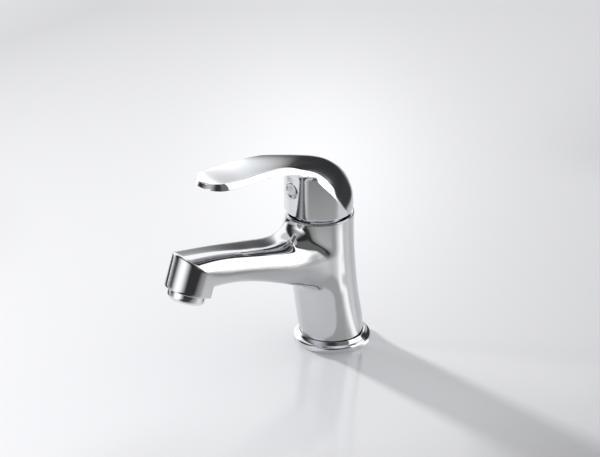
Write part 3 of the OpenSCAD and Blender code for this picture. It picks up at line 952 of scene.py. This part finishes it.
def polished_chrome(name, colour):
    """Bright chrome over polished casting: a faint unevenness, a thin film of dried water here and there."""
    made = bpy.data.materials.new(name)
    s = Shader(made)
    film = s.noise(34, 4.0)
    s.finish(
        {
            "Base Color": s.mix(film, [c * 0.985 for c in colour], colour),
            "Metallic": 1.0,
            "Roughness": s.between(film, 0.035, 0.06),
            "Normal": s.bump(s.noise(55, 1.0), 2.5e-5),
        }
    )
    return made


def plain_metal(name, colour, low, high):
    """Turned or satin metal: fine grain across the turning, colour a little uneven."""
    made = bpy.data.materials.new(name)
    s = Shader(made)
    lines = s.noise(900, 2.0, (1, 1, 14))
    patch = s.noise(70)
    s.finish(
        {
            "Base Color": s.mix(patch, [c * 0.86 for c in colour], colour),
            "Metallic": 1.0,
            "Roughness": s.between(lines, low, high),
            "Normal": s.bump(lines, 2e-5),
        }
    )
    return made


def moulded(name, colour, low, high, scale=2600, depth=1.2e-5, specular=0.5):
    """Moulded plastic, rubber or fired ceramic: fine skin texture and slight shade differences."""
    made = bpy.data.materials.new(name)
    s = Shader(made)
    skin = s.noise(scale)
    shade = s.noise(120)
    s.finish(
        {
            "Base Color": s.mix(shade, [c * 0.9 for c in colour], colour),
            "Roughness": s.between(skin, low, high),
            "Specular IOR Level": specular,
            "Normal": s.bump(skin, depth),
        }
    )
    return made


# ---------------------------------------------------------------- studio


def studio_world(world):
    """Radiance by direction for mirror-like rays, an even sky for all others.

    az is the compass direction in degrees from +Y towards +X, el the height over the horizon. Each soft box
    is a product of smooth steps between edges that are tables over el.
    """
    w = Shader(world)
    way = w.add("ShaderNodeTexCoord").out("Generated")
    split = w.add("ShaderNodeSeparateXYZ", values={"Vector": way})
    az = w.value("ARCTAN2", split.out("X"), split.out("Y")) * (180 / math.pi)
    el = w.value("ARCSINE", split.out("Z")) * (180 / math.pi)
    # soft box behind on the right
    inner = [(-10, 30), (0, 28.5), (10, 22), (20, 15), (30, 8), (35, 6), (40, 12), (50, 28), (60, 38)]
    outer = [(-10, 61), (30, 61), (40, 57.5), (50, 51), (60, 41)]
    right = w.step(az - w.table(el, inner), -1.5, 1.5) * w.step(w.table(el, outer) - az, -9, -1)
    # large soft box on the left, its edge softer low down, with its top leaning over the object
    edge = [
        (-10, -55), (0, -54), (10, -51.5), (20, -46.5), (27, -40), (31, -30), (34, -20), (40, -4), (45, 3),
        (90, 6),
    ]
    soft = 3 + 15 * w.step(el, 34, 25)
    left = w.step((w.table(el, edge) - az) / soft, -0.4, 1.0) * w.step(az, -125, -108)
    left = left * (1.36 - 0.55 * w.step(el, 33, 42) * w.step(az, -55, -68))
    # low bright screen in front of the spout
    front = w.step(w.value("ABSOLUTE", az), 137, 176)
    front = front * (1.45 - 0.95 * w.step(el, 6, 18))
    # the dark room, paler on the right, and the ceiling
    room = 0.035 + 0.13 * w.step(w.value("ABSOLUTE", az - 85), 35, 15)
    ceiling = w.step(el, 62, 72)
    seen = room + right * 1.7 + left + front + ceiling * 0.5
    sky = 0.64
    glossy = w.add("ShaderNodeLightPath").out("Is Glossy Ray")
    strength = glossy * seen + (1 - glossy) * sky
    light = w.add("ShaderNodeBackground", values={"Color": (0.985, 0.99, 1.0, 1), "Strength": strength})
    w.add("ShaderNodeOutputWorld", values={"Surface": light.out()})


def floor_paper(colour):
    """White paper with a faint sheen, its colour painted with light and shade.

    across runs to the right of the view and near towards the camera, from a spot behind the mixer. The
    brightness, painted light and shade, is a second degree surface of both, held as it is further out, and a
    painted pool of light, a bell on that spot.
    """
    made = bpy.data.materials.new("studio_floor")
    s = Shader(made)
    x, y = s.ground()
    across = (x * 0.616 + y * 0.788 + 0.005) * (1 / 0.085)
    near = (x * 0.788 - y * 0.616 + 0.266) * (1 / 0.2)
    painted_glow = s.value("EXPONENT", (across * across + near * near) * -1.0)
    a, n = s.held(across, -5.0, 3.0), s.held(near, -1.5, 4.0)
    # painted light and shade: the floor's brightness falls off across it
    level = 0.87 + 0.01 * a + 0.095 * n - 0.0087 * a * a - 0.0377 * a * n - 0.0214 * n * n
    # painted pool of light on the spot behind the mixer
    level = level + 0.2 * painted_glow
    s.finish(
        {
            "Base Color": s.mix(level - 0.5, [c * 0.5 for c in colour], [c * 1.5 for c in colour]),
            "Roughness": 0.14,
            "Specular IOR Level": 0.4,
        }
    )
    return made


def painted_reflection_sheet():
    """Glowing sheet of painted reflections: dark patches with soft edges right, behind and left of the mixer, a
    pale strip between as a painted highlight, clear elsewhere.

    az and r are the direction, in degrees from +Y towards +X, and the distance from the mixer's foot.
    """
    made = bpy.data.materials.new("painted_reflection_sheet")
    s = Shader(made)
    x, y = s.ground()
    az = s.value("ARCTAN2", x, y) * (180 / math.pi)
    r = (x * x + y * y) ** 0.5
    # masks of the painted dark reflections
    right = s.step(az, 68, 84) * s.step(az, 178, 160) * s.step(r, 0.11, 0.24)
    behind = s.step(az, -32, -12) * s.step(az, 34, 22) * s.step(r, 0.29, 0.36)
    from_x, from_y = x + 0.36, y + 0.22
    left = s.step((from_x * from_x + from_y * from_y) ** 0.5, 0.2, 0.09)
    # painted highlight: a pale glowing strip
    painted_highlight = s.step(az, 38, 56) * s.step(az, 86, 60) * s.step(r, 0.235, 0.17)
    # glow of the painted reflections: faint over the dark patches, more near the mixer, strong on the painted
    # highlight
    level = 0.045 + 0.34 * s.step(r, 0.45, 0.2) + 0.95 * painted_highlight
    painted_glow = s.add("ShaderNodeEmission", values={"Color": (1, 1, 1), "Strength": level})
    clear = s.add("ShaderNodeBsdfTransparent")
    cover = s.value("MINIMUM", right + behind + left + painted_highlight, 1.0)
    both = s.add("ShaderNodeMixShader", values={0: cover, 1: clear.out(), 2: painted_glow.out()})
    s.add("ShaderNodeOutputMaterial", values={"Surface": both.out()})
    return made


def stage_sheet(name, z, material):
    """Level square sheet, 8 m wide, at height z."""
    half = 4.0
    corners = [(-half, -half, z), (half, -half, z), (half, half, z), (-half, half, z)]
    mesh = bpy.data.meshes.new(name)
    mesh.from_pydata(corners, [], [(0, 1, 2, 3)])
    mesh.materials.append(material)
    sheet = bpy.data.objects.new(name, mesh)
    bpy.context.scene.collection.objects.link(sheet)
    return sheet


def face(item, target):
    """Turns a lamp or camera towards a point."""
    item.rotation_euler = (target - item.location).to_track_quat("-Z", "Y").to_euler()


# ---------------------------------------------------------------- settings and operators

LAMP_AZ, LAMP_EL, LAMP_FAR = math.radians(-97.5), math.radians(15.5), 1.8
CAMERA_WAY = Vector((0.6971, -0.5446, 0.4664))
CAMERA_TARGET = Vector((-0.0397, 0.0036, 0.0636))


class MixerSettings(PropertyGroup):
    """Colours and camera of the finished mixer."""

    chrome: FloatVectorProperty(
        name="Chrome",
        description="Colour of the polished chrome",
        subtype="COLOR",
        size=3,
        default=(0.68, 0.685, 0.695),
    )
    floor: FloatVectorProperty(
        name="Floor",
        description="Colour of the studio floor",
        subtype="COLOR",
        size=3,
        default=(0.85, 0.853, 0.877),
    )
    distance: FloatProperty(
        name="Camera distance",
        description="From the foot of the mixer to the camera",
        default=2.5,
        unit="LENGTH",
    )


class FinishBody(Operator):
    """Builds the chrome body with its spout and nozzle"""

    bl_idname = "mixer.body"
    bl_label = "Body and spout"

    def execute(self, context):
        chrome = polished_chrome("chrome_cast", context.scene.mixer.chrome)
        finish_piece("body_shell", body_skin(), "mixer_body", chrome, "body")
        return {"FINISHED"}


class FinishHandle(Operator):
    """Builds the lever handle and the plug of its set screw"""

    bl_idname = "mixer.handle"
    bl_label = "Lever handle"

    def execute(self, context):
        chrome = bpy.data.materials["chrome_cast"]
        trim = polished_chrome("chrome_trim", context.scene.mixer.chrome)
        finish_piece("lever_handle", handle_skin(), "lever", chrome, "handle")
        finish_piece("handle_plug", plug_skin(), "lever", trim, "index_plug")
        return {"FINISHED"}


class FinishTrim(Operator):
    """Builds the base ring, the hood under the handle and the aerator casing"""

    bl_idname = "mixer.trim"
    bl_label = "Rings and casings"

    def execute(self, context):
        chrome = bpy.data.materials["chrome_cast"]
        finish_piece("foot_ring", ring_skin(), "mixer_body", chrome, "base_ring")
        finish_piece("neck_hood", hood_skin(), "mixer_body", chrome, "hood")
        finish_piece("aerator_collar", casing_skin(), "mixer_body", chrome, "aerator_casing")
        return {"FINISHED"}


class FinishInside(Operator):
    """Gives the cartridge, seals, screws and aerator inserts their finishes"""

    bl_idname = "mixer.inside"
    bl_label = "Inner parts"

    def execute(self, context):
        made = {
            "brass": plain_metal("brass", (0.62, 0.44, 0.17), 0.22, 0.4),
            "steel": plain_metal("steel", (0.5, 0.51, 0.52), 0.25, 0.42),
            "seal_rubber": moulded("seal_rubber", (0.02, 0.02, 0.021), 0.5, 0.7, 1500, 2e-5, 0.35),
            "grey_polymer": moulded("grey_polymer", (0.26, 0.28, 0.31), 0.38, 0.52),
            "white_polymer": moulded("white_polymer", (0.78, 0.78, 0.75), 0.34, 0.48),
            "blue_polymer": moulded("blue_polymer", (0.1, 0.17, 0.31), 0.36, 0.5),
            "alumina": moulded("alumina", (0.83, 0.81, 0.75), 0.12, 0.2, 5200, 4e-6),
        }
        for part in frame["record"]["subparts"]:
            node = frame["nodes"][part["node"]]
            if not node.hide_render:
                node.data.materials.clear()
                node.data.materials.append(made[part["material_slot"]])
        return {"FINISHED"}


class BuildStage(Operator):
    """Sets up the floor, the soft lights and the camera"""

    bl_idname = "mixer.stage"
    bl_label = "Studio and camera"

    def execute(self, context):
        settings = context.scene.mixer
        stage_sheet("studio_floor", 0.0, floor_paper(settings.floor))
        # glowing sheet of painted reflections round the table, dark patches and a painted highlight, seen in
        # the chrome only
        reflection_sheet = stage_sheet("painted_reflection_sheet", 0.0004, painted_reflection_sheet())
        reflection_sheet.visible_camera = reflection_sheet.visible_diffuse = reflection_sheet.visible_shadow = False
        context.scene.world = bpy.data.worlds.new("studio")
        studio_world(context.scene.world)
        lamp = bpy.data.lights.new("left_lamp", "AREA")
        lamp.shape = "RECTANGLE"
        lamp.size, lamp.size_y = 0.16, 0.24
        lamp.energy = 40
        lamp.color = (1.0, 0.995, 0.985)
        light = bpy.data.objects.new("left_lamp", lamp)
        context.scene.collection.objects.link(light)
        level = LAMP_FAR * math.cos(LAMP_EL)
        light.location = (level * math.sin(LAMP_AZ), level * math.cos(LAMP_AZ), LAMP_FAR * math.sin(LAMP_EL))
        face(light, Vector((0, 0, 0)))
        light.visible_glossy = False
        camera = bpy.data.objects.new("camera", bpy.data.cameras.new("camera"))
        context.scene.collection.objects.link(camera)
        camera.data.lens = 225
        camera.data.sensor_width = 36
        camera.location = CAMERA_WAY * settings.distance
        face(camera, CAMERA_TARGET)
        context.scene.camera = camera
        context.scene.view_settings.view_transform = "Standard"
        return {"FINISHED"}


class MixerPanel(Panel):
    """Lists the steps that finish the mixer"""

    bl_idname = "VIEW3D_PT_mixer"
    bl_label = "Basin mixer"
    bl_space_type = "VIEW_3D"
    bl_region_type = "UI"
    bl_category = "Mixer"

    def draw(self, context):
        for key in ("chrome", "floor", "distance"):
            self.layout.prop(context.scene.mixer, key)
        for step in STEPS:
            self.layout.operator(step.bl_idname)


STEPS = (FinishBody, FinishHandle, FinishTrim, FinishInside, BuildStage)
CLASSES = (MixerSettings, *STEPS, MixerPanel)


def register():
    for item in CLASSES:
        bpy.utils.register_class(item)
    bpy.types.Scene.mixer = PointerProperty(type=MixerSettings)


def unregister():
    del bpy.types.Scene.mixer
    for item in reversed(CLASSES):
        bpy.utils.unregister_class(item)


def main():
    register()
    bpy.ops.mixer.body()
    bpy.ops.mixer.handle()
    bpy.ops.mixer.trim()
    bpy.ops.mixer.inside()
    bpy.ops.mixer.stage()


if __name__ == "__main__":
    main()
